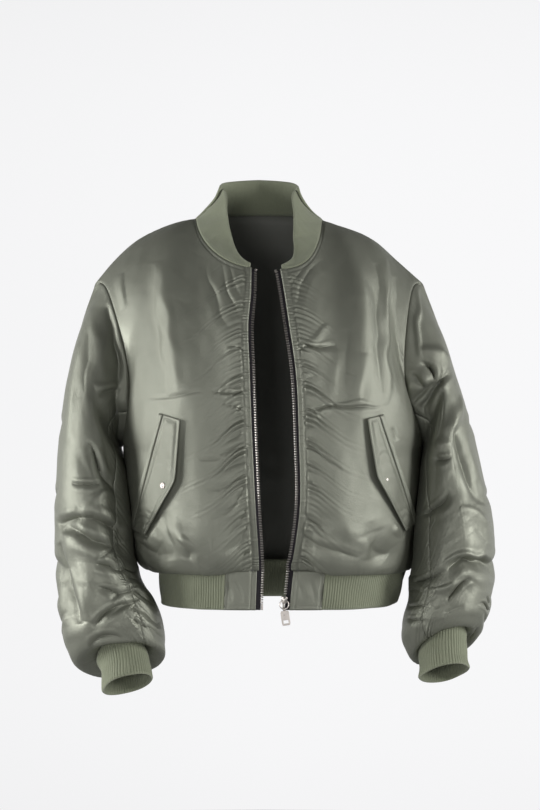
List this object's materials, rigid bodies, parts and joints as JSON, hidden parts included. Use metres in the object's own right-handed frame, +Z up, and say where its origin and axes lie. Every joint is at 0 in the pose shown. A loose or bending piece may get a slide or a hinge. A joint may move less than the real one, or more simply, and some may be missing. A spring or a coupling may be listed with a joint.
{
  "type": "bomber jacket",
  "caption": "Satin bomber jacket worn open: blouson body, full sleeves, rib-knit collar, cuffs and hem band, slanted flap pockets and a metal front zip.",
  "frame": {"origin": "on the wearer's neck axis, level with the back neck seam, where the wearer's neck and shoulders hold the jacket", "axes": "+Z up along the wearer, front faces -Y, wearer's left is +X"},
  "size_m": [0.6866, 0.3353, 0.8126],
  "materials": {
    "satin": "grey-green nylon satin with a soft sheen",
    "rib_knit": "matt sage-green rib knit",
    "zip_tape": "black woven tape",
    "zip_metal": "polished nickel-coloured metal",
    "snap_metal": "nickel-coloured metal"
  },
  "bodies": {
    "root": {"back": "satin", "front_left": "satin", "front_right": "satin", "sleeve_top_left": "satin", "sleeve_top_right": "satin", "sleeve_under_left": "satin", "sleeve_under_right": "satin", "hem_tab_left": "satin", "hem_tab_right": "satin", "pocket_flap_left": "satin", "pocket_flap_right": "satin", "pocket_welt_left": "satin", "pocket_welt_right": "satin", "collar": "rib_knit", "hem_rib": "rib_knit", "cuff_left": "rib_knit", "cuff_right": "rib_knit", "zip_tape_left": "zip_tape", "zip_tape_right": "zip_tape", "zip_teeth_left": "zip_metal", "zip_teeth_right": "zip_metal", "zip_stop_left": "zip_metal", "zip_stop_right": "zip_metal", "zip_pin": "zip_metal", "zip_box": "zip_metal", "zip_slider": "zip_metal", "snap_left": "snap_metal", "snap_right": "snap_metal"},
    "ring": {"pull_ring": "zip_metal"},
    "tab": {"pull_tab": "zip_metal"}
  },
  "joints": [
    {"name": "ring_swing", "type": "hinge", "parent": "root", "child": "ring", "pos_m": [0.03898, -0.14847, -0.60137], "axis": [-1, 0, 0], "range_deg": [0, 120]},
    {"name": "tab_swing", "type": "hinge", "parent": "ring", "child": "tab", "pos_m": [0.03898, -0.14847, -0.61497], "axis": [-1, 0, 0], "range_deg": [0, 60]}
  ]
}
